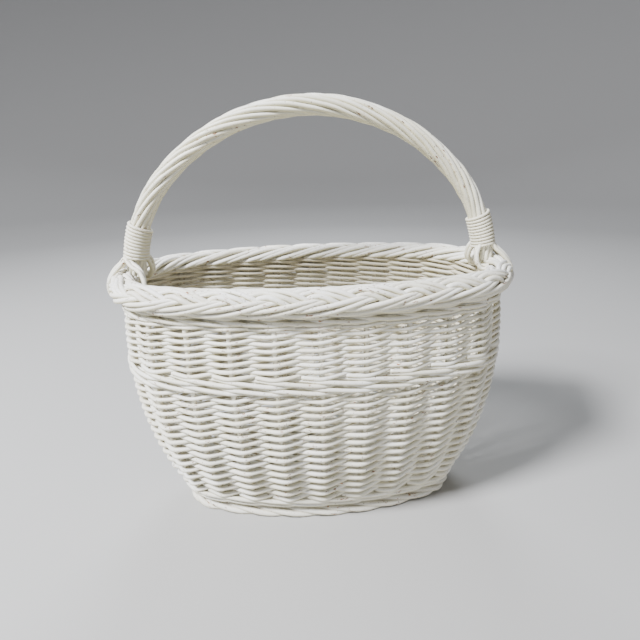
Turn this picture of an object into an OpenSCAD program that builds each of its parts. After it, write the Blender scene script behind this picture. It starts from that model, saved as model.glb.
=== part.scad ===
// Oval willow hand basket: a bellied wall woven on upright stakes, a plaited border and a roped bow handle.
// The origin is the middle of the oval on the floor. X runs along the basket, Y across it, Z up.

/* [Body] */
// Length of the ring of stakes at the belly, between the centres of the end stakes
ring_length = 380; // [340:2:456]
// Width of the ring of stakes at the belly
ring_width = 202; // [180:2:244]
// Radius of the round ends of that ring
end_radius = 82; // [76:1:88]
// Height of the border's crest above the floor
rim_height = 272; // [240:2:326]
// Height of the belly, where the wall is widest
belly_height = 190; // [160:2:228]
// How far the wall leans in between the belly and the floor
base_inset = 50; // [30:1:60]

/* [Stakes and weave] */
// Number of upright stakes round the oval
stake_count = 24; // [16:4:24]
// Thickness of a stake
stake_thick = 4.8; // [3.8:0.1:5.8]
// Thickness of a weaving rod
rod_thick = 4.2; // [3.4:0.1:5]
// Number of visible rows in the tall band below the middle wale
lower_rows = 15; // [10:1:20]
// Number of visible rows in the short band above it
upper_rows = 7; // [4:1:10]
// Height of the bottom wale
bottom_wale_height = 13; // [8:1:18]
// Height of the middle of the middle wale above the floor
middle_wale_level = 180; // [140:2:200]
// Height of the middle wale
middle_wale_height = 15; // [8:1:20]
// Height of the thin wale under the border
top_wale_height = 5; // [4:0.5:8]

/* [Base and foot] */
// Height of the middle of the base above the floor
base_height = 14; // [13.5:0.5:17]
// Thickness of the woven base
base_thick = 11; // [9.8:0.2:12]
// Thickness of the rope-like foot border
foot_thick = 11; // [9:0.2:11]
// Number of long sticks in the base
long_sticks = 3; // [2:1:3]
// Number of cross sticks in the base
cross_sticks = 6; // [2:2:6]
// Thickness of a cross stick
cross_stick_thick = 7; // [6:0.5:7.5]

/* [Border] */
// Height of the plaited border, from its crest to its bottom roll
border_height = 30; // [26:1:34]
// How far the border's middle stands outside the ring of stakes
border_overhang = 5; // [3:0.5:7]
// Depth of the plait's outer layer
plait_thick = 6; // [4:0.5:7]

/* [Handle] */
// Height of the top of the handle above the floor
overall_height = 426; // [355:1:512]
// How far the handle's legs stand inside the ring of stakes
handle_setback = 5; // [4:0.5:7]
// Thickness of the whole roped handle
handle_thick = 19; // [18:0.5:20]
// Number of rods roped round the core
rope_strands = 10; // [8:1:10]
// Turns that the roping makes from one foot to the other
rope_turns = 2.2; // [1:0.1:3]
// Thickness of the cane that binds each end of the handle
cane_thick = 3; // [2:0.2:4]
// Number of turns of cane in each binding
cane_turns = 10; // [6:1:12]

/* [Hidden] */
$fn = 72;
clearance = 0.15;
white_weave = "#EAE6D8";
white_stake = "#DDD7C6";
white_border = "#F0ECE0";
white_handle = "#ECE7DA";
white_cane = "#E6E0CF";
bare_base = "#D9CDB2";

// The oval has two round ends and two long side arcs that meet them smoothly.
half_width = ring_width / 2;
end_x = ring_length / 2 - end_radius;
side_y = (end_x ^ 2 - (half_width - end_radius) ^ 2) / (2 * (half_width - end_radius));
side_radius = half_width + side_y;
side_angle = atan(end_x / side_y);
end_angle = 90 - side_angle;
end_run = end_radius * end_angle * PI / 180;
side_run = side_radius * side_angle * PI / 180;
quarter_run = end_run + side_run;
stake_step = 4 * quarter_run / stake_count;

// The wall's profile is one long arc, upright at the belly.
bend = (belly_height ^ 2 + base_inset ^ 2) / (2 * base_inset);
function wall_x(z) = sqrt(bend ^ 2 - (belly_height - z) ^ 2) - bend;

// Levels of the bands, from the floor up.
bottom_wale_z = base_height + stake_thick / 2 + clearance;
lower_band_z = bottom_wale_z + bottom_wale_height;
middle_wale_z = middle_wale_level - middle_wale_height / 2;
upper_band_z = middle_wale_level + middle_wale_height / 2;
border_z = rim_height - border_height;
top_wale_z = border_z - top_wale_height;

weave_half = stake_thick / 2 + rod_thick;
groove = rod_thick * 0.3;
wale_row = 4;

// The border is a thick roll: a core that the stakes stop under, and two woven layers round it.
border_radius = border_height / 2;
border_mid_z = rim_height - border_radius;
border_core_radius = border_radius - plait_thick;
border_x = wall_x(border_mid_z) + border_overhang;
plait_groove = plait_thick * 0.3;
stake_slot = stake_thick / 2 + 2 * clearance;
stake_top_z = border_mid_z - border_core_radius - clearance;

// The handle's bow has a top arc and two side arcs, which start upright at mid border.
bow_z = border_mid_z;
bow_rise = overall_height - handle_thick / 2 - bow_z;
bow_half = ring_length / 2 + wall_x(bow_z) - handle_setback;
bow_turn = 44;
bow_side = (bow_rise * cos(bow_turn) - bow_half * (1 - sin(bow_turn))) / (sin(bow_turn) + cos(bow_turn) - 1);
bow_top = (bow_half - bow_side * (1 - cos(bow_turn))) / cos(bow_turn);
bow_side_x = bow_half - bow_side;
bow_top_z = bow_z + bow_rise - bow_top;
leg_thick = 6.4;
leg_bottom_z = upper_band_z + 8;
leg_join = [ring_length / 2 + wall_x(border_z), border_z];

strand_share = sin(180 / rope_strands);
strand_thick = (handle_thick * strand_share - clearance / 3) / (1 + strand_share);
core_thick = handle_thick - 2 * (strand_thick + clearance);
strand_ring = core_thick / 2 + clearance + strand_thick / 2;
strand_sides = 6;
strand_rings = 58;
cane_start = rim_height + 8;
collar_length = cane_turns * (cane_thick + 0.3);

tail_thick = 4.6;
tail_turn = 10;
tail_ring = border_radius + tail_thick / 2 + clearance;

function numbered(name, i) = str(name, "_", i < 10 ? "0" : "", i);
function degrees(run, radius) = run / radius * 180 / PI;

// Where a stake stands: its arc's centre, the direction out from that centre, and the arc's radius.
function quarter_seat(run) = run <= end_run ?
    [end_x, 0, degrees(run, end_radius), end_radius] :
    [0, -side_y, end_angle + degrees(run - end_run, side_radius), side_radius];
function flip_x(s) = [-s[0], s[1], 180 - s[2], s[3]];
function flip_y(s) = [s[0], -s[1], -s[2], s[3]];
function seat(run) = let (q = floor(run / quarter_run + 0.001), rest = run - q * quarter_run)
    q == 0 ? quarter_seat(rest) :
    q == 1 ? flip_x(quarter_seat(quarter_run - rest)) :
    q == 2 ? flip_x(flip_y(quarter_seat(rest))) :
    flip_y(quarter_seat(quarter_run - rest));
function at_tip(i) = (i - 1) % (stake_count / 2) == 0;

module at_seat(s) {
    translate([s[0], s[1], 0]) rotate(s[2]) translate([s[3], 0, 0]) children();
}

// Sweeps a flat section round the oval. The section's x is its distance outside the ring of stakes.
// The arcs lap where they meet, and the side arcs stand out by a hair there, so that they join well.
lap = 2;
side_step = 0.2;
module round_the_oval() {
    for (turn = [0, 180]) rotate(turn) {
        translate([end_x, 0, 0]) sector(end_radius, 0, end_angle) children();
        translate([0, -side_y, 0]) sector(side_radius + side_step, 90, side_angle) children();
    }
}

module sector(radius, middle, half_angle) {
    half = half_angle + degrees(lap, radius);
    rotate(middle - half)
        rotate_extrude(angle = 2 * half)
            translate([radius, 0]) children();
}

// A rod that follows the wall's profile between two heights.
module upright(thick, from_z, to_z) {
    low = asin((from_z - belly_height) / bend);
    high = asin((to_z - belly_height) / bend);
    translate([-bend, 0, belly_height])
        rotate([90, 0, 0])
            rotate(low)
                rotate_extrude(angle = high - low)
                    translate([bend, 0]) circle(d = thick);
}

// The foot of a stake turns inward and runs into the base. The kink is a touch thicker than the stake.
knuckle = 0.2;
tail_run = (end_radius + wall_x(base_height)) * 0.5;
module stake_foot(thick) {
    translate([wall_x(base_height), 0, base_height]) {
        sphere(d = thick + knuckle);
        rotate([0, -90, 0]) cylinder(h = tail_run, d = thick);
    }
}

module stake(i) {
    top = at_tip(i) ? leg_bottom_z - clearance : stake_top_z;
    color(white_stake) at_seat(seat((i - 1) * stake_step)) {
        stake_foot(stake_thick);
        upright(stake_thick, base_height, top);
    }
}

// The holes that the stakes pass through in a band of weave.
module stake_channels(from_z, to_z) {
    for (i = [1 : stake_count]) at_seat(seat((i - 1) * stake_step))
        upright((at_tip(i) && to_z > leg_bottom_z ? leg_thick : stake_thick) + 2 * clearance, from_z - 1, to_z + 1);
}

// One face of a band: each row swells out and dips back to a groove.
swell = [[0, 1], [0.3, 0.1], [0.7, 0.1]];
function face(from_z, to_z, rows, side) = [
    for (i = [0 : rows - 1], s = swell) let (z = from_z + (to_z - from_z) * (i + s[0]) / rows)
        [wall_x(z) + side * (weave_half - groove * s[1]), z],
    [wall_x(to_z) + side * (weave_half - groove), to_z]
];
function reversed(list) = [for (i = [len(list) - 1 : -1 : 0]) list[i]];

module band(from_z, to_z, rows) {
    difference() {
        round_the_oval()
            polygon(concat(face(from_z, to_z, rows, 1), reversed(face(from_z, to_z, rows, -1))));
        stake_channels(from_z, to_z);
    }
}

module bottom_wale() {
    color(white_weave) band(bottom_wale_z, lower_band_z, round(bottom_wale_height / wale_row));
}

module lower_randing() {
    color(white_weave) band(lower_band_z, middle_wale_z, lower_rows);
}

module middle_wale() {
    color(white_weave) band(middle_wale_z, upper_band_z, round(middle_wale_height / wale_row));
}

module upper_randing() {
    color(white_weave) band(upper_band_z, top_wale_z, upper_rows);
}

module top_wale() {
    color(white_weave) band(top_wale_z, border_z - clearance, 1);
}

// Sides of a roll that is bundled from several rods.
roll_sides = 12;

// The foot border is a roll with a narrow flat underneath, which the basket stands on.
foot_mid = foot_thick / 2 - 0.4;
foot_x = wall_x(base_height) + 1;
module foot_border() {
    color(white_border) round_the_oval() intersection() {
        translate([foot_x, foot_mid]) circle(d = foot_thick, $fn = roll_sides);
        translate([foot_x - foot_thick, 0])
            square([2 * foot_thick, base_height - stake_thick / 2 - clearance]);
    }
}

// A flat oval, its edge at a distance d outside the ring of stakes.
module oval(d) {
    join_x = end_x + (end_radius + d) * cos(end_angle);
    for (side = [-1, 1]) translate([side * end_x, 0]) circle(r = end_radius + d);
    intersection() {
        translate([0, -side_y]) circle(r = side_radius + d, $fn = 360);
        translate([0, side_y]) circle(r = side_radius + d, $fn = 360);
        square([2 * join_x, ring_width], center = true);
    }
}

// The base is woven over three long sticks that pass through six split cross sticks.
base_edge = foot_x - foot_thick / 2 - 2 * clearance;
stick_gap = 11;
long_stick_thick = 4.6;
long_stick_half = end_x + 3;
cross_step = stake_step * (side_radius + base_edge) / side_radius;
cross_edge = base_edge - 3;
function long_y(i) = (i - (long_sticks + 1) / 2) * stick_gap;
function cross_x(i) = (i - (cross_sticks + 1) / 2) * cross_step;
function cross_half(i) = sqrt((side_radius + cross_edge) ^ 2 - cross_x(i) ^ 2) - side_y;

module long_rod(i, thick) {
    translate([0, long_y(i), base_height])
        rotate([0, 90, 0]) cylinder(h = 2 * long_stick_half, d = thick, center = true);
}

module cross_rod(i, thick) {
    translate([cross_x(i), 0, base_height])
        rotate([90, 0, 0]) cylinder(h = 2 * cross_half(i), d = thick, center = true);
}

module base_long_stick(i) {
    color(bare_base) long_rod(i, long_stick_thick);
}

module base_cross_stick(i) {
    color(bare_base) difference() {
        cross_rod(i, cross_stick_thick);
        for (k = [1 : long_sticks]) long_rod(k, long_stick_thick + 2 * clearance);
    }
}

module base_weave() {
    color(bare_base) difference() {
        translate([0, 0, base_height - base_thick / 2])
            linear_extrude(base_thick) oval(base_edge);
        for (k = [1 : long_sticks]) long_rod(k, long_stick_thick + 2 * clearance);
        for (k = [1 : cross_sticks]) cross_rod(k, cross_stick_thick + 2 * clearance);
        for (i = [1 : stake_count]) at_seat(seat((i - 1) * stake_step))
            stake_foot(stake_thick + 2 * clearance);
    }
}

// The border's section between two directions round its middle: rods show as lobes on a thick shell.
lobe_angle = 27;
lobe_step = 13.5;
function lobe_radius(turned) = border_radius - plait_groove * (1 - abs(sin(180 * turned / lobe_angle)));
function border_section(from, to) = let (steps = round((to - from) / lobe_step)) concat(
    [for (k = [0 : steps]) let (turned = (to - from) * k / steps)
        lobe_radius(turned) * [cos(from + turned), sin(from + turned)]],
    [for (k = [steps : -2 : 0]) let (a = from + (to - from) * k / steps)
        (border_core_radius + clearance) * [cos(a), sin(a)]]);

module border_layer(from, to) {
    difference() {
        round_the_oval() translate([border_x, border_mid_z]) polygon(border_section(from, to));
        bow_holes();
    }
}

// The plait covers the outside from the bottom roll to the crest, and rod pairs cover the inside.
// The stakes come up between them.
crest_angle = 100;
stake_side = asin(border_overhang / border_radius);
slot_angle = asin((stake_slot + 1) / border_core_radius);
module border_plait() {
    color(white_border) border_layer(-90 - stake_side + slot_angle, crest_angle);
}

module border_inner_pairs() {
    color(white_weave) border_layer(crest_angle + 0.6, 270 - stake_side - slot_angle);
}

module border_core() {
    color(white_stake) difference() {
        round_the_oval() translate([border_x, border_mid_z])
            circle(r = border_core_radius, $fn = roll_sides);
        bow_holes();
    }
}

// An arc in the upright plane through the handle, between two directions from its centre.
module bow_arc(x, z, radius, from, to, thick) {
    translate([x, 0, z])
        rotate([90, 0, 0])
            rotate(from)
                rotate_extrude(angle = to - from)
                    translate([radius, 0]) circle(d = thick, $fn = roll_sides);
}

// The lower end of the bow: it narrows through the border and follows the wall down into the weave.
leg_lean = [bow_half - leg_join[0], bow_z - leg_join[1]];
leg_tilt = atan2(leg_lean[0], leg_lean[1]);
module bow_foot() {
    translate([leg_join[0], 0, leg_join[1]]) {
        sphere(d = leg_thick + knuckle);
        rotate([0, leg_tilt, 0]) cylinder(h = norm(leg_lean), d1 = leg_thick, d2 = core_thick);
    }
    translate([bow_half, 0, bow_z]) sphere(d = core_thick + knuckle);
    translate([ring_length / 2, 0, 0]) upright(leg_thick, leg_bottom_z, border_z);
}

// The way through the border for each end of the bow.
bow_hole = core_thick + 5 * clearance;
module bow_holes() {
    for (turn = [0, 180]) rotate(turn) translate([leg_join[0], 0, leg_join[1]])
        rotate([0, leg_tilt, 0]) translate([0, 0, -border_radius])
            cylinder(h = 4 * border_radius, d = bow_hole);
}

module handle_bow() {
    color(white_stake) {
        bow_arc(0, bow_top_z, bow_top - side_step, bow_turn - degrees(lap, bow_top),
            180 - bow_turn + degrees(lap, bow_top), core_thick);
        for (turn = [0, 180]) rotate(turn) {
            bow_arc(bow_side_x, bow_z, bow_side, 0, bow_turn, core_thick);
            bow_foot();
        }
    }
}

// A point of the bow's middle line, by the direction that its outer side faces.
function bow_point(a) =
    a < bow_turn ? [bow_side_x + bow_side * cos(a), bow_z + bow_side * sin(a)] :
    a <= 180 - bow_turn ? [bow_top * cos(a), bow_top_z + bow_top * sin(a)] :
    [-bow_side_x + bow_side * cos(a), bow_z + bow_side * sin(a)];
function bow_run(a) = PI / 180 * (
    a < bow_turn ? bow_side * a :
    a <= 180 - bow_turn ? bow_side * bow_turn + bow_top * (a - bow_turn) :
    bow_side * bow_turn + bow_top * (180 - 2 * bow_turn) + bow_side * (a - 180 + bow_turn));

// A roping rod winds round the bow from above one end of the border to above the other.
rope_from = asin((rim_height + 1 - bow_z) / bow_side);
function strand_centre(a, twist) = let (p = bow_point(a), out = strand_ring * cos(twist))
    [p[0] + out * cos(a), strand_ring * sin(twist), p[1] + out * sin(a)];
function strand_ring_points(a, twist) = let (c = strand_centre(a, twist))
    [for (k = [0 : strand_sides - 1]) let (t = 360 * k / strand_sides + twist, r = strand_thick / 2)
        c + r * [cos(t) * cos(a), sin(t), cos(t) * sin(a)]];

module handle_strand(i) {
    last = strand_rings - 1;
    n = strand_sides;
    points = [for (k = [0 : last]) let (a = rope_from + (180 - 2 * rope_from) * k / last,
        twist = 360 * (i / rope_strands + rope_turns * bow_run(a) / bow_run(180)))
        each strand_ring_points(a, twist)];
    sides = [for (k = [0 : last - 1], j = [0 : n - 1]) let (a = k * n + j, b = k * n + (j + 1) % n)
        each [[a, b, b + n], [a, b + n, a + n]]];
    ends = [[for (j = [n - 1 : -1 : 0]) j], [for (j = [0 : n - 1]) last * n + j]];
    color(white_handle) polyhedron(points, concat(sides, ends));
}

// A binding of cane round one lower end of the handle. Side 0 is the right-hand end, side 1 the left.
bow_sag = collar_length ^ 2 / (8 * bow_side);
collar_tilt = asin(collar_length / 2 / bow_side);
collar_bore = handle_thick / 2 / cos(collar_tilt) + bow_sag / 2 + clearance;
collar_sleeve = 1;
collar_angle = asin((cane_start + collar_length / 2 - bow_z) / bow_side);

module collar(side) {
    color(white_cane) rotate(180 * side)
        translate([
            bow_side_x + (bow_side - bow_sag / 2) * cos(collar_angle),
            0,
            bow_z + bow_side * sin(collar_angle)
        ])
            rotate([0, -collar_angle, 0])
                rotate_extrude() {
                    translate([collar_bore, -collar_length / 2]) square([collar_sleeve, collar_length]);
                    for (k = [0.5 : cane_turns])
                        translate([collar_bore + cane_thick / 2, k * collar_length / cane_turns - collar_length / 2])
                            circle(d = cane_thick);
                }
}

// The tail of a roping rod lies over the border beside the handle, outside it or inside it.
module tail(side, outside) {
    from = outside ? -48 : 97;
    to = outside ? 83 : 205;
    color(white_handle) rotate(180 * side)
        translate([end_x, 0, 0]) rotate((outside ? 1 : -1) * tail_turn)
            translate([end_radius + border_x, 0, border_mid_z])
                rotate([90, 0, 0])
                    rotate(from) rotate_extrude(angle = to - from)
                        translate([tail_ring, 0]) circle(d = tail_thick);
}

for (i = [1 : stake_count])
    stake(i);
for (i = [1 : long_sticks])
    base_long_stick(i);
for (i = [1 : cross_sticks])
    base_cross_stick(i);
base_weave();
foot_border();
bottom_wale();
lower_randing();
middle_wale();
upper_randing();
top_wale();
border_core();
border_plait();
border_inner_pairs();
handle_bow();
for (i = [1 : rope_strands])
    handle_strand(i);
collar(0);  // collar_right
collar(1);  // collar_left
tail(0, true);  // tail_right_outer
tail(0, false);  // tail_right_inner
tail(1, true);  // tail_left_outer
tail(1, false);  // tail_left_inner
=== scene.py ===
# %% [markdown]
# # A painted willow hand basket
# We make the looks of an oval hand basket around its measured frame. The frame already holds every
# size: where the stakes stand, how high the border is, how the handle bends. Our job is to replace its
# plain bands with real rods that weave over and under, and to paint them.
# A woven look can be had from a bump texture or from real rods. The gaps of a basket show the light
# through and its outline is knobbly, so here every rod is a real tube.

# %% Load the frame
import math
import bpy
import numpy as np
from mathutils import Matrix, Vector


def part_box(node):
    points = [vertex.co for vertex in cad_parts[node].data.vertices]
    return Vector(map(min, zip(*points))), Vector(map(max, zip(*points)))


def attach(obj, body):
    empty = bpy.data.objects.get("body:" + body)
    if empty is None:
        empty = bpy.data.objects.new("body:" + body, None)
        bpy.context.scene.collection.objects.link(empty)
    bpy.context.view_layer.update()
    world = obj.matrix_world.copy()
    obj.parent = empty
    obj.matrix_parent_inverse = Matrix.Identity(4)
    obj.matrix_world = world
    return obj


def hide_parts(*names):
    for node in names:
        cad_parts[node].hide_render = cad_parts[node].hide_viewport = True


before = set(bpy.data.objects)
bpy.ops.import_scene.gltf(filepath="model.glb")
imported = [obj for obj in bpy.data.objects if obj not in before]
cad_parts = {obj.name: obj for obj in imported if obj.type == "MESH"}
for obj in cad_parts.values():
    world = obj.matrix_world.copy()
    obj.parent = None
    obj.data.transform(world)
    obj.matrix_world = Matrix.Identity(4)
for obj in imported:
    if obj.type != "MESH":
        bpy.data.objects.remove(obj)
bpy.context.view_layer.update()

# %% [markdown]
# ## Measuring the oval
# The ring of stakes is an oval of two round ends and two long side arcs. Three numbers fix it: its
# half length, its half width and the radius of its ends. They could be typed in, but reading them from
# the stakes' own boxes keeps the weave on the stakes when the basket's size changes.

# %% Read the oval from the stakes
MM = 0.001
TWO_PI = 2 * math.pi
STAKES = 24
STAKE_R = 2.4 * MM


def high(node):
    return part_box(node)[1]


def low(node):
    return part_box(node)[0]


side_stake = f"stake_{1 + STAKES // 4:02d}"
half_wide = high(side_stake).y - STAKE_R
second = high("stake_02")
half_long = high("stake_01").x - STAKE_R
lead = (half_long - (second.x - STAKE_R)) / (second.y - STAKE_R)
end_r = (second.y - STAKE_R) / math.sin(2 * math.atan(lead))
end_x = half_long - end_r
side_y = (end_x ** 2 - (half_wide - end_r) ** 2) / (2 * (half_wide - end_r))
side_r = half_wide + side_y
end_angle = math.pi / 2 - math.atan2(end_x, side_y)
end_run = end_r * end_angle
quarter = end_run + side_r * (math.pi / 2 - end_angle)
ring = 4 * quarter
step = ring / STAKES
print(f"oval {half_long:.4f} x {half_wide:.4f}, ends {end_r:.4f}, stake spacing {step:.4f}")

# %% [markdown]
# ## Measuring the wall
# The wall swells from the foot to the belly and closes in a little under the border, as a basket does
# when the stakes are let out and drawn in again. That could be a free curve with many points. One long
# arc is enough here, and the edges of two woven bands give both its bend and its widest level.

# %% Read the levels and the wall's arc
border_low, border_high = low("border_core"), high("border_core")
border_mid = (border_low.z + border_high.z) / 2
border_top = high("border_plait").z
border_r = border_top - border_mid
border_out = (border_low.z - border_high.z) / 2 + border_high.x - half_long
base_mid = (low("base_cross_stick_01").z + high("base_cross_stick_01").z) / 2
foot_top = high("foot_border").z
band_edges = {name: (low(name).z, high(name).z)
              for name in ("bottom_wale", "lower_randing", "middle_wale", "upper_randing", "top_wale")}
weave_half = high("middle_wale").x - half_long


def bend_through(z, inset, widest):
    """The radius of an arc that is widest at one level and stands in by an inset at another."""
    return ((widest - z) ** 2 + inset ** 2) / (2 * inset)


neck_z, neck_inset = band_edges["top_wale"][0], half_long + weave_half - high("top_wale").x
foot_z, foot_inset = band_edges["bottom_wale"][1], half_long + weave_half - high("bottom_wale").x
belly_z = min((abs(bend_through(neck_z, neck_inset, z) - bend_through(foot_z, foot_inset, z)), z)
              for z in np.linspace(foot_z + 0.05, neck_z, 600))[1]
bend = bend_through(foot_z, foot_inset, belly_z)
print(f"border middle {border_mid:.4f}, roll radius {border_r:.4f}")
print(f"wall bend {bend:.4f}, widest at {belly_z:.4f}")


def wall_inset(z):
    """How far the wall stands in from its widest line, as a negative distance."""
    return np.sqrt(bend ** 2 - (belly_z - z) ** 2) - bend


# %% [markdown]
# ## A place on the basket
# A weaver counts stakes, not metres. So every woven rod is laid out by how far it has come round the ring
# of stakes, how far outside them it lies and how high it is. We could bend finished straight rods round an
# oval with a modifier. A function that turns those three numbers into a point is simpler to reason about.

# %% A point on the ring of stakes


def on_ring(run, out, z, lean=True):
    """Points along the ring of stakes, so far outside it, at a height. Also the outward direction."""
    run, out, z = np.broadcast_arrays(np.asarray(run, float) % ring, out, z)
    part = np.minimum(run // quarter, 3).astype(int)
    rest = run - part * quarter
    along = np.where(part % 2 == 0, rest, quarter - rest)
    at_end = along <= end_run
    turn = np.where(at_end, along / end_r, end_angle + (along - end_run) / side_r)
    radius = np.where(at_end, end_r, side_r) + out + (wall_inset(z) if lean else 0)
    flip_x = np.where((part == 1) | (part == 2), -1, 1)
    flip_y = np.where(part >= 2, -1, 1)
    outward = np.stack([flip_x * np.cos(turn), flip_y * np.sin(turn), np.zeros_like(turn)], -1)
    x = flip_x * (np.where(at_end, end_x, 0) + radius * np.cos(turn))
    y = flip_y * (np.where(at_end, 0, -side_y) + radius * np.sin(turn))
    return np.stack([x, y, z], -1), outward


print("quarter points", on_ring(quarter * np.arange(4), 0, belly_z)[0].round(3).tolist())

# %% [markdown]
# ## The hand's unevenness
# No two willow rods are alike, and no hand lays them down exactly. Noise at every point would make a rod
# rough, when a real one bends gently. So the small errors are a few long waves, drawn from dice that
# are set once and give the same basket each time.

# %% Gentle waves from seeded dice
dice = np.random.default_rng(11)
ROD_SIDES = 9
OUT_OF_ROUND = 0.035
print(f"rods have {ROD_SIDES} sides and are up to {OUT_OF_ROUND:.1%} out of round")


def wander(t, amount, waves=(0.31, 0.83, 1.9), closed=False):
    """A gentle random wave along t, for hand-made unevenness. Closed rods meet their own start."""
    total = np.zeros_like(t)
    for wave in waves:
        if closed:
            wave = max(1, round(wave * 8)) / STAKES
        total += dice.normal() * np.sin(TWO_PI * (wave * t + dice.random()))
    return amount * total / len(waves)


# %% [markdown]
# ## Drawing a rod
# Every piece here is a willow rod or a strip of cane: a tube that follows a path. Blender can do this
# with a curve and a bevel. We build the tube's mesh ourselves instead, because then each rod can carry
# its own facts to the paint: its tone, its grain along the rod, and which side faces into the weave.

# %% One rod as a tube


def rod(points, radius, outward, closed=False, sides=ROD_SIDES):
    """One rod. Radius may change along it. Outward is the direction that faces out of the weave."""
    points = np.asarray(points, float)
    count = len(points)
    if closed:
        tangent = np.roll(points, -1, 0) - np.roll(points, 1, 0)
    else:
        tangent = np.gradient(points, axis=0)
    tangent /= np.linalg.norm(tangent, axis=1)[:, None]
    outward = np.broadcast_to(outward, points.shape)
    normal = outward - (outward * tangent).sum(1)[:, None] * tangent
    normal /= np.linalg.norm(normal, axis=1)[:, None]
    across = np.cross(tangent, normal)
    radius = np.broadcast_to(radius, (count,))
    turn = TWO_PI * np.arange(sides) / sides
    ripple = 1 + OUT_OF_ROUND * np.sin(turn * 2 + dice.random() * 6) * dice.random()
    around = normal[:, None] * np.cos(turn)[None, :, None] + across[:, None] * np.sin(turn)[None, :, None]
    verts = points[:, None] + around * (radius[:, None] * ripple)[..., None]
    rings = count if closed else count - 1
    a = (np.arange(rings)[:, None] * sides + np.arange(sides)).ravel()
    b = (np.arange(rings)[:, None] * sides + (np.arange(sides) + 1) % sides).ravel()
    total = count * sides
    faces = np.stack([a, b, (b + sides) % total, (a + sides) % total], -1)
    run = np.r_[0, np.cumsum(np.linalg.norm(np.diff(points, axis=0), axis=1))]
    tone = dice.random()
    # The grain runs along the rod. The tone shifts its start, so that no two rods have the same streaks.
    round_rod = np.cos(turn) * 2 * MM, np.sin(turn) * 2 * MM
    grain = np.stack(np.broadcast_arrays(run[:, None] + tone * 7, *round_rod), -1)
    # Which side of the rod faces into the weave. The paint darkens that side as painted shade.
    inward = np.broadcast_to((1 - np.cos(turn)) / 2, (count, sides))
    ends = [] if closed else [list(range(sides - 1, -1, -1)), list(range(total - sides, total))]
    return {"verts": verts.reshape(-1, 3), "faces": faces, "ends": ends, "grain": grain.reshape(-1, 3),
            "tone": np.full(total, tone), "inward": inward.ravel()}


# %% [markdown]
# ## From rods to a piece
# A band of the basket is many rods, but it is one part to the frame. One object for each rod would be easy
# to pick and slow to handle. So the rods of a band are joined into one mesh, which hides the part of
# the frame it replaces and is hung on what it moves with.

# %% A bundle of rods as one piece


def bundle(name, rods, paint, *nodes, slot):
    """Joins rods into one piece that stands for its nodes of the frame."""
    verts, faces, start = [], [], 0
    for r in rods:
        verts.append(r["verts"])
        faces += (r["faces"] + start).tolist() + [[v + start for v in end] for end in r["ends"]]
        start += len(r["verts"])
    mesh = bpy.data.meshes.new(name)
    mesh.from_pydata(np.concatenate(verts).tolist(), [], faces)
    for field in ("tone", "inward"):
        values = np.concatenate([r[field] for r in rods])
        mesh.attributes.new(field, "FLOAT", "POINT").data.foreach_set("value", values)
    grain = np.concatenate([r["grain"] for r in rods])
    mesh.attributes.new("grain", "FLOAT_VECTOR", "POINT").data.foreach_set("vector", grain.ravel())
    mesh.shade_smooth()
    piece = bpy.data.objects.new(name, mesh)
    bpy.context.collection.objects.link(piece)
    mesh.materials.append(paint)
    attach(piece, "root")
    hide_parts(*nodes)
    print(f"{name}: {len(rods)} rods, {start} points")


# %% [markdown]
# ## Tools for the paint
# A painted material is built from nodes: noise for the pattern, ramps to sharpen it, and mixes to lay one
# colour over another. They can be placed by hand in the shader editor. A few helpers do the same with
# one line each, so every paint of the basket is made in the same way.

# %% Facts and noise for a material


def attribute(nodes, field):
    """Reads one of the facts that each rod carries."""
    node = nodes.new("ShaderNodeAttribute")
    node.attribute_name = field
    return node


def link_noise(nodes, links, vector, scale, detail=3.0, rough=0.55, stretch=(1, 1, 1)):
    """A noise with so many waves per metre, stretched along the rod if its numbers differ."""
    mapping = nodes.new("ShaderNodeMapping")
    mapping.inputs["Scale"].default_value = stretch
    noise = nodes.new("ShaderNodeTexNoise")
    noise.inputs["Scale"].default_value = scale
    noise.inputs["Detail"].default_value = detail
    noise.inputs["Roughness"].default_value = rough
    links.new(vector, mapping.inputs["Vector"])
    links.new(mapping.outputs["Vector"], noise.inputs["Vector"])
    return noise.outputs["Fac"]


# %% [markdown]
# ## Sharpening and mixing
# A noise alone is a grey cloud. A ramp with two limits turns it into patches with soft edges, and a mix lays
# a colour only where the patches are. A product of two patterns keeps what both have, such as small flakes
# inside a knocked place.

# %% Ramps, mixes and products


def ramp(nodes, links, value, low_at, high_at, low_to=0.0, high_to=1.0):
    """A soft step from one value to another."""
    ranger = nodes.new("ShaderNodeMapRange")
    ranger.interpolation_type = "SMOOTHSTEP"
    for socket, number in zip(("From Min", "From Max", "To Min", "To Max"), (low_at, high_at, low_to, high_to)):
        ranger.inputs[socket].default_value = number
    links.new(value, ranger.inputs["Value"])
    return ranger.outputs["Result"]


def blend_colour(nodes, links, amount, first, second):
    """Lays the second colour over the first, as far as the amount says."""
    mix = nodes.new("ShaderNodeMix")
    mix.data_type = "RGBA"
    links.new(amount, mix.inputs["Factor"])
    for socket, colour in (("A", first), ("B", second)):
        target = next(s for s in mix.inputs if s.name == socket and s.type == "RGBA")
        if isinstance(colour, tuple):
            target.default_value = (*colour, 1)
        else:
            links.new(colour, target)
    return next(s for s in mix.outputs if s.type == "RGBA")


def multiply(nodes, links, first, second):
    """The product of two patterns, or of a pattern and a plain number."""
    maths = nodes.new("ShaderNodeMath")
    maths.operation = "MULTIPLY"
    for socket, value in zip(maths.inputs, (first, second)):
        if isinstance(value, float):
            socket.default_value = value
        else:
            links.new(value, socket)
    return maths.outputs["Value"]
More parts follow.
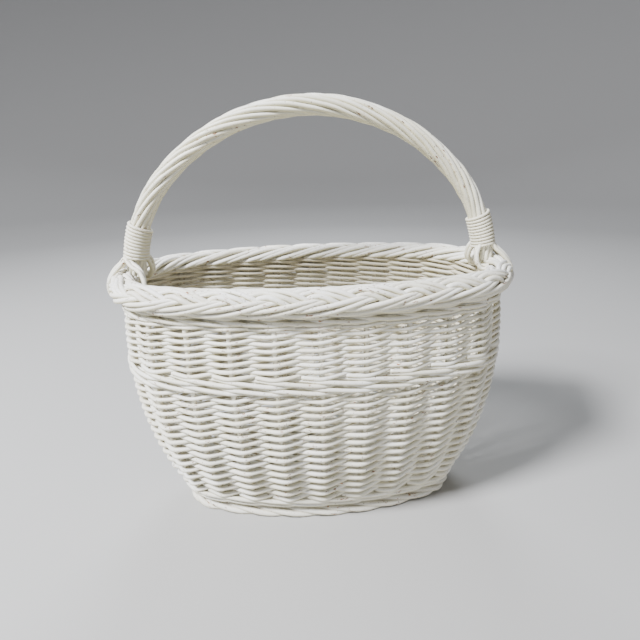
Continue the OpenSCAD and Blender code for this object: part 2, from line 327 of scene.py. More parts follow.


# %% [markdown]
# ## Painted willow
# The basket is brushed with a chalky white paint that has yellowed a little. Paint on willow shows
# a soft change of tone from rod to rod, fine lines along the rod where the bark reads through, and small
# chips where brown wood shows. The colour also holds painted shade: darker where a rod turns in to the
# weave and warmer yellow on the undersides. A flat picture of paint would slide off the rods. Noise that
# follows each rod's own grain stays on it, at any size.

# %% The paint's colours and the sizes of its patterns
PATCH_WAVES, KNOCK_WAVES, STREAK_WAVES, FLAKE_WAVES, FLECK_WAVES = 26, 34, 150, 330, 620
BRUSHED, CHIPPED = (0.16, 3.2, 3.2), (0.55, 1.6, 1.6)
# The first two colours on the next line are painted shade: a warm yellow for the undersides of the rods and a
# dark brown where they turn into the weave.
UNDERSIDE_SHADE, INWARD_SHADE, FLECK = (0.72, 0.67, 0.45), (0.46, 0.40, 0.27), (0.10, 0.075, 0.05)
BARE_WOOD, WEATHERED_WOOD = (0.34, 0.15, 0.055), (0.13, 0.055, 0.025)
print(f"streaks every {1000 / STREAK_WAVES:.1f} mm, flakes every {1000 / FLAKE_WAVES:.1f} mm")

# %% [markdown]
# ## Chips
# Paint comes off where the basket was knocked, and there it comes off in flakes as small as a rod. One noise
# would spread flakes evenly. Two keep them in groups.

# %% Where the paint is chipped


def chipped_places(nodes, links, place, grain, chips):
    """Small ragged spots, only where a wider noise says the paint was knocked."""
    knocked = ramp(nodes, links, link_noise(nodes, links, place, KNOCK_WAVES, 2), 0.48, 0.56)
    flakes = link_noise(nodes, links, grain, FLAKE_WAVES, 5, 0.65, stretch=CHIPPED)
    edge = 0.628 - 0.03 * chips
    return multiply(nodes, links, knocked, ramp(nodes, links, flakes, edge, edge + 0.012))


# %% [markdown]
# ## Layers of colour
# The colour is built in layers: the fresh coat, a painted shade of warm yellow on the undersides, a tone
# of its own for each rod, a painted shade of brown where the rods turn in, and then the chips and flecks on
# top.

# %% The paint's colour


def paint_colour(nodes, links, place, streaks, chip, tones):
    """Paint in three tones, with painted shade yellow below and brown towards the weave, chipped and flecked.
    """
    cool, warm, shade = tones
    facing = nodes.new("ShaderNodeSeparateXYZ")
    links.new(nodes.new("ShaderNodeNewGeometry").outputs["Normal"], facing.inputs["Vector"])
    patches = link_noise(nodes, links, place, PATCH_WAVES, 3)
    colour = blend_colour(nodes, links, ramp(nodes, links, patches, 0.35, 0.65, 0.0, 0.7), cool, warm)
    # Painted shade: the underside of each rod is mixed toward a warm yellow and its top stays white, as light
    # from above falls on it.
    colour = blend_colour(nodes, links, ramp(nodes, links, facing.outputs["Z"], 0.45, -0.75), colour, UNDERSIDE_SHADE)
    tone = attribute(nodes, "tone").outputs["Fac"]
    colour = blend_colour(nodes, links, ramp(nodes, links, tone, 0.35, 1.0, 0.0, 0.55), colour, shade)
    colour = blend_colour(nodes, links, ramp(nodes, links, streaks, 0.52, 0.78, 0.0, 0.35), colour, shade)
    # Painted shade: the side of each rod that faces into the weave is darkened toward brown, where shade falls
    # between rods.
    inward = attribute(nodes, "inward").outputs["Fac"]
    inward_darkening = multiply(nodes, links, ramp(nodes, links, inward, 0.35, 1.0), 0.55)
    colour = blend_colour(nodes, links, inward_darkening, colour, INWARD_SHADE)
    bare = blend_colour(nodes, links, ramp(nodes, links, streaks, 0.4, 0.6), BARE_WOOD, WEATHERED_WOOD)
    colour = blend_colour(nodes, links, chip, colour, bare)
    flecks = ramp(nodes, links, link_noise(nodes, links, place, FLECK_WAVES, 2, 0.5), 0.68, 0.72)
    return blend_colour(nodes, links, multiply(nodes, links, flecks, 0.75), colour, FLECK)


# %% [markdown]
# ## Relief
# Paint fills the bark's lines but doesn't hide them, and a chip has a step at its edge. Both are too fine
# for the mesh, so they are bumps.

# %% The paint's relief


def paint_relief(nodes, links, streaks, chip):
    """The bark's fine lines and the thick paint, with the chips sunk in."""
    fine = nodes.new("ShaderNodeBump")
    fine.inputs["Strength"].default_value = 0.35
    fine.inputs["Distance"].default_value = 0.5 * MM
    links.new(streaks, fine.inputs["Height"])
    thick = nodes.new("ShaderNodeBump")
    thick.inputs["Strength"].default_value = 0.55
    thick.inputs["Distance"].default_value = -0.35 * MM
    links.new(chip, thick.inputs["Height"])
    links.new(fine.outputs["Normal"], thick.inputs["Normal"])
    return thick.outputs["Normal"]


# %% [markdown]
# ## Six paints
# The same paint has aged differently from place to place. The border is the whitest and the most knocked,
# the handle is smoothed by hands, and the base was hardly painted at all. One material with a painted mask
# could hold them all. Six materials from one recipe are easier to tune, each by three tones and two numbers.

# %% Paints for the weave, the stakes, the border, the handle, the cane and the base


def painted_willow(name, cool, warm, shade, chips=0.5, gloss=0.52):
    """White paint over willow. More chips show more wood, and a smaller gloss number shines more."""
    material = bpy.data.materials.new(name)
    material.use_nodes = True
    nodes, links = material.node_tree.nodes, material.node_tree.links
    surface = nodes["Principled BSDF"]
    place = nodes.new("ShaderNodeTexCoord").outputs["Object"]
    grain = attribute(nodes, "grain").outputs["Vector"]
    streaks = link_noise(nodes, links, grain, STREAK_WAVES, 4, stretch=BRUSHED)
    chip = chipped_places(nodes, links, place, grain, chips)
    colour = paint_colour(nodes, links, place, streaks, chip, (cool, warm, shade))
    links.new(colour, surface.inputs["Base Color"])
    links.new(ramp(nodes, links, streaks, 0.3, 0.75, gloss - 0.08, gloss + 0.2), surface.inputs["Roughness"])
    surface.inputs["Specular IOR Level"].default_value = 0.42
    links.new(paint_relief(nodes, links, streaks, chip), surface.inputs["Normal"])
    return material


weave_paint = painted_willow(
    "weave_paint", (0.87, 0.87, 0.85), (0.84, 0.82, 0.74), (0.72, 0.69, 0.57))
stake_paint = painted_willow(
    "stake_paint", (0.84, 0.83, 0.79), (0.80, 0.78, 0.69), (0.68, 0.64, 0.51), chips=0.2)
border_paint = painted_willow(
    "border_paint", (0.88, 0.88, 0.87), (0.85, 0.84, 0.78), (0.74, 0.71, 0.60), chips=0.7)
handle_paint = painted_willow(
    "handle_paint", (0.87, 0.87, 0.82), (0.83, 0.81, 0.70), (0.71, 0.68, 0.54), gloss=0.45)
cane_paint = painted_willow(
    "cane_paint", (0.86, 0.85, 0.79), (0.81, 0.78, 0.67), (0.69, 0.65, 0.50), gloss=0.48)
base_willow = painted_willow(
    "base_willow", (0.70, 0.66, 0.54), (0.62, 0.55, 0.40), (0.45, 0.36, 0.22), chips=1.5)
print("materials", [m.name for m in bpy.data.materials])

# %% [markdown]
# ## Stakes
# The stakes are the upright rods that everything is woven on. Each is pushed into the base, kinked
# upward and left long. They show between the strokes of the upper band and as a kink above the foot.
# We follow the wall's arc, with a soft elbow at the bottom.

# %% Stakes
STAKE_TAIL = 20 * MM
WALL_POINTS, ELBOW_POINTS = 70, 14
for i in range(STAKES):
    name = f"stake_{i + 1:02d}"
    top = high(name).z
    z = base_mid + (top - base_mid) * np.linspace(0, 1, WALL_POINTS)
    elbow = np.linspace(1, 0, ELBOW_POINTS, endpoint=False)
    out = np.r_[wall_inset(base_mid) - STAKE_TAIL * elbow, wall_inset(z)]
    height = np.r_[np.full(ELBOW_POINTS, base_mid), z]
    t = np.arange(len(out)) / 10
    soft = np.exp(-((height - base_mid) / (3 * MM)) ** 2) * np.r_[1 - elbow, np.ones(WALL_POINTS)] ** 4
    proud = 0.9 * MM * np.clip((height - base_mid) / (20 * MM), 0, 1)
    run = i * step + wander(t, 0.5 * MM)
    points, outward = on_ring(run, out + proud - 1.2 * MM * soft, height, lean=False)
    taper = 1.08 - 0.10 * np.clip((height - base_mid) / 0.24, 0, 1)
    radius = STAKE_R * taper + wander(t, 0.05 * MM)
    upright = rod(points, radius, outward + [0, 0, 0.02])
    bundle(f"{name}_rod", [upright], stake_paint, name, slot="painted_stakes")

# %% [markdown]
# ## French randing
# Both tall bands are French randing: as many rods as stakes, each going in front of one stake and
# behind the next, all climbing together. So a rod's distance out from the stakes is a cosine of the
# stakes it has passed, and its height grows by one layer a stake. A small second wave pulls each rod
# down where it crosses a stake in front, which gives the herringbone look.

# %% Two bands of French randing
BAND_POINTS = 14


def sway(passed, sharp):
    """A cosine once round in two stakes. The sharper it is, the straighter a rod runs from stake to stake."""
    return np.arcsin(sharp * np.cos(math.pi * passed)) / math.asin(sharp)


def randing(name, butt_r, tip_r, layers, dip, grow):
    """Rods start thick at the bottom of the band and end thin at its top, so the layers tighten upward."""
    bottom, top = band_edges[name]
    passed = np.linspace(-0.45, layers + 0.45, int((layers + 0.9) * BAND_POINTS))
    share = np.clip(passed / layers, 0, 1)
    climb = share * (1 + grow * (1 - share))
    slope = (1 + grow * (1 - 2 * share)) * (top - bottom) / layers
    rods = []
    for k in range(STAKES):
        radius = butt_r + (tip_r - butt_r) * share + wander(passed, 0.10 * MM)
        swing = (STAKE_R + radius * 0.97) * sway(passed, 0.95)
        z = bottom + radius + (top - bottom - 2 * radius) * climb - dip * slope * sway(passed, 0.97)
        z = z + wander(passed, 0.30 * MM)
        run = (k + passed) * step + wander(passed, 0.4 * MM)
        points, outward = on_ring(run, swing + wander(passed, 0.18 * MM), z)
        rods.append(rod(points, radius, outward))
    bundle(f"{name}_rods", rods, weave_paint, name, slot="painted_weave")


randing("lower_randing", 2.8 * MM, 1.9 * MM, 29, 0.30, 0.26)
randing("upper_randing", 1.95 * MM, 1.65 * MM, 14, 0.22, 0.05)

# %% [markdown]
# ## Waling
# A wale is a strong rope-like row: three rods, each passing in front of two stakes and behind one.
# Of the two rods in front of a stake, the newer lies on top. Both facts are sines of a third of a turn
# per stake, so a whole wale is three closed rods for each round.

# %% Wales


def wale_rods(bottom, top, rod_r, rounds):
    """Closed rods of three-rod waling between two heights."""
    row = (top - bottom) / (2 * rounds)
    t = np.linspace(0, STAKES, STAKES * 14, endpoint=False)
    rods = []
    for level in range(rounds):
        for j in range(3):
            third = TWO_PI * (t - j) / 3
            front = (np.cos(third - math.pi / 3) + 0.25) / 0.75
            radius = rod_r + wander(t, 0.12 * MM, closed=True)
            swing = (STAKE_R + radius) * np.minimum(front, 1.0 + 0.18 * (front - 1))
            z = bottom + row * (2 * level + 1) + row * 0.56 * np.sin(third + TWO_PI / 3)
            z = z + wander(t, 0.25 * MM, closed=True)
            points, outward = on_ring(t * step, swing, z)
            rods.append(rod(points, radius, outward, closed=True))
    return rods


WALES = {"bottom_wale": (2.5 * MM, 2), "middle_wale": (2.05 * MM, 2), "top_wale": (1.9 * MM, 1)}
for name, (rod_r, rounds) in WALES.items():
    rods = wale_rods(*band_edges[name], rod_r, rounds)
    bundle(f"{name}_rods", rods, weave_paint, name, slot="painted_weave")

# %% [markdown]
# ## Foot border
# The basket stands on a rope-like roll. Three thick rods chase each other round it, so seen from
# outside every stroke runs down to the right for about one and a half stake spacings. The roll is
# pressed flat where it meets the floor.

# %% Foot border
UP = np.array([0, 0, 1])
FOOT_ROD_R, FOOT_COIL, FOOT_RISE = 3.2 * MM, 3.2 * MM, 2.7 * MM
foot_mid = foot_top / 2 + 0.1 * MM
foot_out = high("foot_border").x - half_long - foot_top / 2
t = np.linspace(0, STAKES, STAKES * 16, endpoint=False)
foot_rods = []
for j in range(3):
    turn = -TWO_PI * (t - j) / 3
    radius = FOOT_ROD_R + wander(t, 0.2 * MM, closed=True)
    z = np.maximum(foot_mid + FOOT_RISE * np.sin(turn), radius + 0.05 * MM)
    out = foot_out + FOOT_COIL * np.cos(turn) + wander(t, 0.3 * MM, closed=True)
    points, outward = on_ring(t * step, out, z, lean=False)
    facing = outward * np.cos(turn)[:, None] + UP * np.sin(turn)[:, None]
    foot_rods.append(rod(points, radius, facing, closed=True))
bundle("foot_border_rope", foot_rods, border_paint, "foot_border", slot="painted_border")

# %% [markdown]
# ## The plaited border
# The rim is a roll. Outside, each stake gives one chevron: three rods come over the crest and down to the
# right, and a pair rises to the right from the bottom of the roll. Each group tucks its lower ends under
# the next. We draw one chevron on the roll's unwrapped surface, where one axis runs round the rim and the
# other round the roll, and repeat it at every stake. A third number says how high a rod lies: one on top,
# nought tucked in. A few chosen points per rod are enough, with their corners rounded off.

# %% The border's roll
PLAIT_R = border_r - 1.2 * MM
TUCK = 4.2 * MM


def on_roll(run, angle, lift):
    """A point on the border's roll, by its way along the rim, its angle round the roll and its lift."""
    out, high_up = border_out + lift * np.cos(angle), border_mid + lift * np.sin(angle)
    points, outward = on_ring(run, out, high_up, lean=False)
    facing = outward * np.cos(angle)[:, None] + UP * np.sin(angle)[:, None]
    return points, facing


print(f"plait on a roll of radius {PLAIT_R:.4f}")

# %% [markdown]
# ## A stroke of the plait
# A rod in the plait runs nearly straight and then kinks where it meets a stake. A smooth curve through the
# chosen points would wave too much. So the points are joined by straight runs, and only the corners
# are rounded.

# %% A stroke on the border's roll


def eased(x, keys, soft):
    """Joins chosen values with straight runs, then rounds the corners off."""
    line = np.interp(x, np.linspace(0, 1, len(keys)), keys)
    weight = np.hanning(2 * soft + 3)[1:-1]
    padded = np.pad(line, soft, mode="reflect", reflect_type="odd")
    return np.convolve(padded, weight / weight.sum(), "same")[soft:-soft]


def stroke(k, places, rod_r, way=1):
    """One rod of a chevron. Each place is a distance in stake spacings, an angle in degrees and a height."""
    u, angle, layer = np.array(places, float).T
    t = np.linspace(0, 1, 44)
    shift = dice.normal() * 0.02
    run = (k + way * (eased(t, u, 5) + shift)) * step
    turn = np.radians(eased(t, angle, 5) + dice.normal() * 1.6)
    radius = rod_r * (1 + dice.normal() * 0.04) + wander(t * 3, 0.08 * MM)
    lift = PLAIT_R - rod_r - TUCK * (1 - eased(t, layer, 4)) + wander(t * 3, 0.12 * MM)
    points, facing = on_roll(run, turn, lift)
    return rod(points, radius, facing)


# %% [markdown]
# ## One chevron at every stake
# Two rods cross the crest side by side, a short thick one closes the chevron, and the rising pair lies
# under their heads. A weaver makes the same moves at every stake, and so does this loop. The small
# differences between the chevrons come from the dice.

# %% Plait
CREST_BACK = [(-0.75, 60, 0), (-0.50, 78, 0.6), (-0.25, 93, 1), (0.05, 87, 1), (0.40, 63, 1),
              (0.74, 30, 0.5), (0.98, 6, 0)]
CREST_FRONT = [(-0.60, 46, 0), (-0.36, 64, 0.6), (-0.12, 73, 1), (0.10, 57, 1), (0.36, 38, 1),
               (0.60, 19, 0.4), (0.82, 0, 0)]
CREST_SHORT = [(-0.30, 35, 0), (-0.18, 43, 0.8), (-0.02, 45, 1), (0.12, 35, 1), (0.26, 20, 0.8), (0.46, -2, 0)]
RISING_TOP = [(-1.66, -36, 0), (-1.39, -23, 0.8), (-0.93, -7, 1), (-0.50, 10, 1),
              (-0.08, 28, 0.6), (0.20, 42, -0.1)]
RISING_LOW = [(-2.00, -70, 0), (-1.62, -58, 0.9), (-1.12, -43, 1), (-0.50, -11, 1),
              (0.02, 19, 0.6), (0.32, 37, -0.1)]
CHEVRON = [(CREST_BACK, 2.2 * MM), (CREST_FRONT, 2.2 * MM), (CREST_SHORT, 2.5 * MM),
           (RISING_TOP, 2.2 * MM), (RISING_LOW, 2.3 * MM)]
plait_rods = [stroke(k, places, rod_r) for k in range(STAKES) for places, rod_r in CHEVRON]
bundle("border_plait_rods", plait_rods, border_paint, "border_plait", slot="painted_border")

# %% [markdown]
# ## The inside of the rim
# On the inside of the rim the rods lie in pairs that climb from the wall to the crest, each over two
# stake spacings, and duck under the next pair. They could be the outer chevron turned round, but they are
# calmer than that, so they get a path of their own, run the other way.

# %% Inner pairs
INNER_START = 0.2
INNER = [(0, 196, 0), (0.30, 184, 0.9), (0.80, 160, 1), (1.25, 134, 1), (1.70, 110, 0.9), (2.15, 86, 0)]
inner_rods = []
for k in range(STAKES):
    for lag in (0, 0.36):
        places = [(u + lag, angle - 3 * lag, layer) for u, angle, layer in INNER]
        inner_rods.append(stroke(k + INNER_START, places, 2.6 * MM, way=-1))
bundle("border_inner_rods", inner_rods, border_paint, "border_inner_pairs", slot="painted_border")

# %% [markdown]
# ## The core of the rim
# Under the plait the wall ends in two more rows of waling, which wrap the stake ends, round a soft core
# of turned-down rods. A solid tube would do where it is hidden, but dark gaps in the plait let it show.
# So it is made of rods too: the waling again, and six that twist slowly inside the roll.

# %% Border core
CORE_RODS = 6
wall_top = band_edges["top_wale"][1]
core_rods = wale_rods(wall_top + 0.5 * MM, border_mid - 2 * MM, 2.0 * MM, 2)
t = np.linspace(0, STAKES, STAKES * 10, endpoint=False)
for j in range(CORE_RODS):
    turn = TWO_PI * j / CORE_RODS + TWO_PI * t / 8
    lift = 5.2 * MM + wander(t, 0.3 * MM, closed=True)
    points, facing = on_roll(t * step, turn, lift)
    core_rods.append(rod(points, 2.7 * MM, facing, closed=True))
bundle("border_core_rods", core_rods, stake_paint, "border_core", slot="painted_border")

# %% [markdown]
# ## The handle
# The handle is a stout bow pushed down into the weave at both ends, with thinner rods roped round it in
# a long lazy twist. The bow has a top arc and two side arcs. The roping rods keep touching each other,
# so each one is a helix at the same distance from the bow's middle line.

# %% The bow's path
STRANDS = 10
ROPE_TURNS = 2.2
HANDLE_R, CORE_R = 9.5 * MM, 4.9 * MM
STRAND_R = (HANDLE_R - CORE_R) / 2
BOW_TURN = math.radians(44)
# The frame's roping rods are six-sided, so they reach a little less far out than round ones.
SIX_SIDED = 0.6 * MM
strand_nodes = [f"handle_strand_{i + 1:02d}" for i in range(STRANDS)]
handle_top = max(high(name).z for name in strand_nodes)
handle_out = max(high(name).x for name in strand_nodes)
bow_z = border_mid
bow_half = handle_out - HANDLE_R + SIX_SIDED
bow_rise = handle_top - HANDLE_R - bow_z
across, upward = math.cos(BOW_TURN), math.sin(BOW_TURN)
bow_side = (bow_rise * across - bow_half * (1 - upward)) / (upward + across - 1)
bow_top = (bow_half - bow_side * (1 - across)) / across
print(f"bow half width {bow_half:.4f}, rise {bow_rise:.4f}, arcs {bow_side:.4f} and {bow_top:.4f}")


# %% [markdown]
# ## A place on the handle
# The handle is laid out like the ring of stakes: by the direction that its outer side faces, an angle round
# the bow and a distance off it. The way along it is the sum of its three arcs.

# %% A point beside the bow


def on_bow(a, around, off):
    """A point beside the bow, where its outer side faces direction a, at an angle round it and so far off."""
    a, around, off = np.broadcast_arrays(a, around, off)
    side_right, top = a < BOW_TURN, (a >= BOW_TURN) & (a <= math.pi - BOW_TURN)
    radius = np.where(top, bow_top, bow_side)
    x = np.where(top, 0, np.where(side_right, 1, -1) * (bow_half - bow_side)) + radius * np.cos(a)
    z = np.where(top, bow_z + bow_rise - bow_top, bow_z) + radius * np.sin(a)
    facing = np.stack([np.cos(around) * np.cos(a), np.sin(around), np.cos(around) * np.sin(a)], -1)
    return np.stack([x, np.zeros_like(x), z], -1) + facing * off[..., None], facing


def bow_run(a):
    """The distance along the bow from its right foot."""
    side = bow_side * np.minimum(a, BOW_TURN) + bow_side * np.maximum(a - math.pi + BOW_TURN, 0)
    return side + bow_top * (np.clip(a, BOW_TURN, math.pi - BOW_TURN) - BOW_TURN)


whole_run = float(bow_run(np.array(math.pi)))
print(f"the bow is {whole_run:.3f} m long")

# %% [markdown]
# ## The handle's core
# One stout rod makes the bow. Both its ends are pointed and pushed down beside an end stake, deep into the
# weave, which is what carries the load. Only its feet can be seen, below the roping, but the whole rod
# is drawn, so that no light shows through the rope.

# %% Handle core
LEG_POINTS, ARCH_POINTS, JOIN_POINTS = 30, 200, 10
leg_z = np.linspace(low("handle_bow").z, bow_z - 8 * MM, LEG_POINTS)
near = np.clip((leg_z - (border_low.z - 8 * MM)) / (20 * MM), 0, 1)
leg_x = half_long + wall_inset(leg_z)
leg_x = leg_x + (bow_half - leg_x) * near * near * (3 - 2 * near)
right_leg = np.stack([leg_x, 0 * leg_x, leg_z], -1)
arch = on_bow(np.linspace(0, math.pi, ARCH_POINTS), 0, 0)[0]
path = np.concatenate([right_leg, arch, (right_leg * [-1, 1, 1])[::-1]])
thick_from, thick_to = LEG_POINTS + JOIN_POINTS, ARCH_POINTS - JOIN_POINTS
places = [0, LEG_POINTS, thick_from, thick_to, LEG_POINTS + ARCH_POINTS, len(path)]
radius = np.interp(np.arange(len(path)), places, np.array([2.6, 3.2, 4.7, 4.7, 3.2, 2.6]) * MM)
core = rod(path, radius, [0, -1, 0.01])
bundle("handle_core", [core], stake_paint, "handle_bow", slot="painted_handle")

# %% [markdown]
# ## Roping
# Ten thinner rods lie side by side round the core and twist a little more than twice from one foot to the
# other. A rope pattern on a thick tube would give a smooth outline. Ten helices give the scalloped one of
# real roping, and each starts below the top of the border, among the tails.

# %% Roping rods
ROPE_POINTS = 330
rope_start = math.asin((border_top - 9 * MM - bow_z) / bow_side)
for i, name in enumerate(strand_nodes):
    a = np.linspace(rope_start, math.pi - rope_start, ROPE_POINTS)
    t = np.linspace(0, 10, ROPE_POINTS)
    around = TWO_PI * ((i + 1) / STRANDS + ROPE_TURNS * bow_run(a) / whole_run) + wander(t, 0.07)
    off = CORE_R + STRAND_R + wander(t, 0.35 * MM)
    points, facing = on_bow(a, around, off)
    radius = STRAND_R * (0.99 + 0.05 * dice.normal()) + wander(t, 0.10 * MM)
    strand = rod(points, np.clip(radius, 1.9 * MM, 2.5 * MM), facing, sides=10)
    bundle(f"{name}_rod", [strand], handle_paint, name, slot="painted_handle")

# %% [markdown]
# ## Bindings
# Each end of the handle is whipped with one long strip of cane. A stack of rings would look too neat,
# so this is a true helix, with turns that lie hard against each other and wander a little.

# %% Cane bindings
CANE_TURNS = 10
CANE_R = 1.62 * MM


def binding(name, mirrored):
    """One strip of cane wound round an end of the handle, between the binding's own heights."""
    z_low, z_high = low(name).z, high(name).z
    start = math.asin((z_low + 3 * MM - bow_z) / bow_side)
    end = math.asin((z_high - 3 * MM - bow_z) / bow_side)
    t = np.linspace(0, CANE_TURNS, CANE_TURNS * 40)
    a = start + (end - start) * t / CANE_TURNS
    a = math.pi - a if mirrored else a
    off = HANDLE_R + 1.35 * MM + wander(t, 0.22 * MM)
    points, facing = on_bow(a, TWO_PI * t + 1.5, off)
    points[:, 2] += wander(t, 0.18 * MM)
    cane = rod(points, CANE_R, facing, sides=8)
    bundle(f"{name}_cane", [cane], cane_paint, name, slot="painted_cane")


binding("collar_right", False)
binding("collar_left", True)

# %% [markdown]
# ## The sticks of the base
# The base starts as a cross of split sticks: three long ones threaded through six short ones. They hardly
# show, but they are there when you look in through the mouth or from below. Each is one rod between the
# ends of its own part of the frame.

# %% Base sticks
LONG_STICKS, CROSS_STICKS = 3, 6
for i in range(LONG_STICKS):
    name = f"base_long_stick_{i + 1:02d}"
    (x0, y0, _), (x1, y1, _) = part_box(name)
    x = np.linspace(x0, x1, 40)
    points = np.stack([x, np.full(40, (y0 + y1) / 2) + wander(x * 40, 0.4 * MM), np.full(40, base_mid)], -1)
    stick = rod(points, 2.3 * MM, [0, 0, 1])
    bundle(f"{name}_rod", [stick], base_willow, name, slot="base_willow")
for i in range(CROSS_STICKS):
    name = f"base_cross_stick_{i + 1:02d}"
    (x0, y0, _), (x1, y1, _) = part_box(name)
    y = np.linspace(y0, y1, 30)
    points = np.stack([np.full(30, (x0 + x1) / 2) + wander(y * 40, 0.3 * MM), y, np.full(30, base_mid)], -1)
    stick = rod(points, 3.4 * MM, [0, 0, 1])
    bundle(f"{name}_rod", [stick], base_willow, name, slot="base_willow")

# %% [markdown]
# ## The weave of the base
# Rods go over and under the cross sticks from end to end, and rounds of weaving close the base at its
# edge. Both are waves, up and down by the thickness of a stick, with every other rod turned over.

# %% Base weave
BASE_ROD_R, BASE_PITCH, BASE_ROUNDS = 2.2 * MM, 4.6 * MM, 7
base_edge = high("base_weave").x - half_long
base_rods = []
for row in range(BASE_ROUNDS):
    t = np.linspace(0, STAKES, STAKES * 10, endpoint=False)
    out = base_edge - 2.4 * MM - row * BASE_PITCH
    over = 1 if row % 2 else -1
    z = base_mid + over * 2.7 * MM * np.cos(math.pi * t) + wander(t, 0.2 * MM, closed=True)
    points, outward = on_ring(t * step, out, z, lean=False)
    base_rods.append(rod(points, BASE_ROD_R, UP, closed=True))
inner = half_wide + base_edge - BASE_ROUNDS * BASE_PITCH
lines = int(2 * inner / BASE_PITCH)
stick_gap = low("base_cross_stick_02").x - low("base_cross_stick_01").x
for line in range(lines):
    y = -inner + (line + 0.5) * 2 * inner / lines
    x = np.linspace(-end_x - 8 * MM, end_x + 8 * MM, 150)
    over = 1 if line % 2 else -1
    z = base_mid + over * 4.0 * MM * np.sin(math.pi * x / stick_gap)
    points = np.stack([x, np.full_like(x, y) + wander(x * 30, 0.3 * MM), z], -1)
    base_rods.append(rod(points, BASE_ROD_R, UP))
bundle("base_weave_rods", base_rods, base_willow, "base_weave", slot="base_willow")

# %% [markdown]
# ## Tails
# Below each binding the roping rods fan out, run over the border and are tucked away under it, inside
# and outside the basket. Each is one curve through a few given points, measured from the tip of
# the oval: how far along the rim, how far outside the stakes, and how far above the border's middle.

# %% Tails


def tail(name, right, routes):
    """Pairs of rods beside one end of the handle. Each route is a list of places and the pair's spacing."""
    sign = 1 if right else -1
    rods = []
    for places, width in routes:
        for side in (-0.5, 0.5):
            along, out, up = np.array(places, float).T * MM
            t = np.linspace(0, 1, 50)
            along = eased(t, along, 6) + side * width * MM
            up = up + side * 2.5 * MM
            x = (half_long + eased(t, out, 6) - along ** 2 / (2 * end_r)) * sign
            points = np.stack([x, along, border_mid + eased(t, up, 6) + wander(t * 2, 0.3 * MM)], -1)
            facing = points - np.array([half_long * sign, 0, border_mid])
            rods.append(rod(points, 2.2 * MM * (1 + dice.normal() * 0.04), facing))
    bundle(f"{name}_rods", rods, handle_paint, name, slot="painted_handle")


OVER_FRONT = [(-5, -7, 27), (-7, -1, 21), (-9, 8, 13), (-10, 15, 3), (-9, 15, -8), (-7, 9, -14)]
OVER_BACK = [(-y, out, up) for y, out, up in OVER_FRONT]
HOOK_FRONT = [(-6, -19, 27), (-10, -23, 19), (-13, -23, 10), (-15, -18, 3), (-17, -10, 4)]
HOOK_BACK = [(-y, out, up) for y, out, up in HOOK_FRONT]
CROSS_FRONT = [(-7, -5, 27), (-13, -10, 20), (-19, -19, 15), (-25, -22, 6), (-28, -20, -5), (-29, -14, -12)]
tail("tail_right_outer", True, [(OVER_FRONT, 4.6), (OVER_BACK, 4.6)])
tail("tail_right_inner", True, [(HOOK_FRONT, 4.4), (HOOK_BACK, 4.4)])
tail("tail_left_outer", False, [(OVER_FRONT, 4.6), (OVER_BACK, 4.6)])
tail("tail_left_inner", False, [(CROSS_FRONT, 4.4), (HOOK_BACK, 4.4)])

# %% [markdown]
# ## The floor
# A plain pale floor that curves up at its far edge, so that no line shows where it ends. A large plane would
# meet the background in a hard edge. This one is a dish of rings, flat in the middle.

# %% Floor
FLOOR_TURNS, FLAT_TO, CURL = 72, 2.2, 0.28
rings = np.array([0.01, 0.4, 0.9, 1.5, 2.2, 2.8, 3.3, 3.7, 4.0, 4.2, 4.3, 4.35])
rise = np.maximum(rings - FLAT_TO, 0) ** 3 * CURL
turns = TWO_PI * np.arange(FLOOR_TURNS) / FLOOR_TURNS
corners = [(r * math.cos(a), r * math.sin(a), z) for r, z in zip(rings, rise) for a in turns]
inner_edge = np.arange((len(rings) - 1) * FLOOR_TURNS)
beside = inner_edge // FLOOR_TURNS * FLOOR_TURNS + (inner_edge + 1) % FLOOR_TURNS
quads = np.stack([inner_edge, beside, beside + FLOOR_TURNS, inner_edge + FLOOR_TURNS], -1).tolist()
sheet = bpy.data.meshes.new("floor")
sheet.from_pydata(corners, [], quads + [list(range(FLOOR_TURNS))])
sheet.shade_smooth()
floor = bpy.data.objects.new("floor", sheet)
bpy.context.collection.objects.link(floor)
floor_paper = bpy.data.materials.new("floor_paper")
floor_paper.use_nodes = True
paper = floor_paper.node_tree.nodes["Principled BSDF"]
paper.inputs["Base Color"].default_value = (0.42, 0.42, 0.425, 1)
paper.inputs["Roughness"].default_value = 0.9
sheet.materials.append(floor_paper)
print(f"floor {2 * rings[-1]:.1f} m across")

# %% [markdown]
# ## Light
# White rods on a pale floor need a clear direction of light, or the weave goes flat. A soft key lamp stands
# high at the left and in front, so that every rod has a bright top and a shaded underside. A weak warm lamp at
# the right and a cool one behind keep the shadows open. One big lamp overhead would fill the weave too evenly.

# %% Lamps and world
AIM = Vector((0, 0, 0.2))


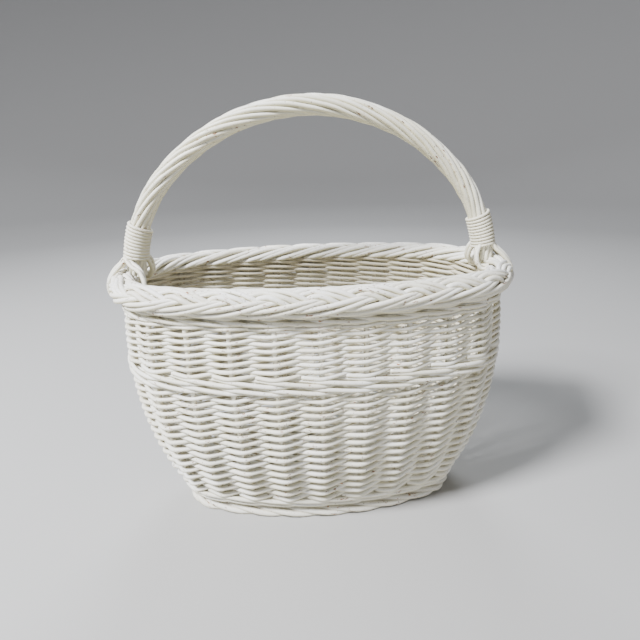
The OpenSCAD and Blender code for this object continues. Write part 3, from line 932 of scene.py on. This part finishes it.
def lamp(name, position, size, power, colour):
    """A round lamp that looks at the middle of the basket."""
    light = bpy.data.lights.new(name, "AREA")
    light.shape = "DISK"
    light.size, light.energy, light.color = size, power, colour
    thing = bpy.data.objects.new(name, light)
    thing.location = position
    thing.rotation_euler = (AIM - Vector(position)).to_track_quat("-Z", "Y").to_euler()
    bpy.context.collection.objects.link(thing)
    print(f"{name} lamp of {power} W, {size} m across")


lamp("key", (-1.3, -0.85, 1.8), 0.5, 160, (0.985, 0.99, 1.0))
lamp("fill", (1.7, -1.5, 0.9), 1.6, 10, (1.0, 0.96, 0.87))
lamp("back", (0.1, 1.6, 1.7), 1.0, 32, (0.93, 0.97, 1.0))
world = bpy.data.worlds.new("studio")
world.use_nodes = True
sky = world.node_tree.nodes["Background"]
sky.inputs["Color"].default_value = (0.86, 0.88, 0.92, 1)
sky.inputs["Strength"].default_value = 0.2
bpy.context.scene.world = world

# %% [markdown]
# ## Camera
# The camera stands close in front of one long side and looks slightly down, so the far rim is clearly smaller
# than the near one. A long lens from far away would flatten that. The lens, the height and three small
# turns are set as numbers, which keeps the view the same each time.

# %% Camera
CAMERA_BACK, CAMERA_HIGH, CAMERA_ASIDE = 460.5 * MM, 371 * MM, -5.1 * MM
PITCH, ROLL, YAW = math.radians(19.72), math.radians(-1.68), math.radians(2.99)
camera_data = bpy.data.cameras.new("camera")
camera_data.sensor_width = 36
camera_data.lens = 25.59375
camera = bpy.data.objects.new("camera", camera_data)
x = -(CAMERA_ASIDE * math.cos(YAW) + CAMERA_BACK * math.sin(YAW))
y = CAMERA_ASIDE * math.sin(YAW) - CAMERA_BACK * math.cos(YAW)
look = Matrix.Rotation(-YAW, 4, "Z") @ Matrix.Rotation(math.pi / 2 - PITCH, 4, "X")
look = look @ Matrix.Rotation(ROLL, 4, "Z")
camera.matrix_world = Matrix.Translation((x, y, CAMERA_HIGH)) @ look
bpy.context.collection.objects.link(camera)
bpy.context.scene.camera = camera
print(f"camera at {x:.3f}, {y:.3f}, {CAMERA_HIGH:.3f}")
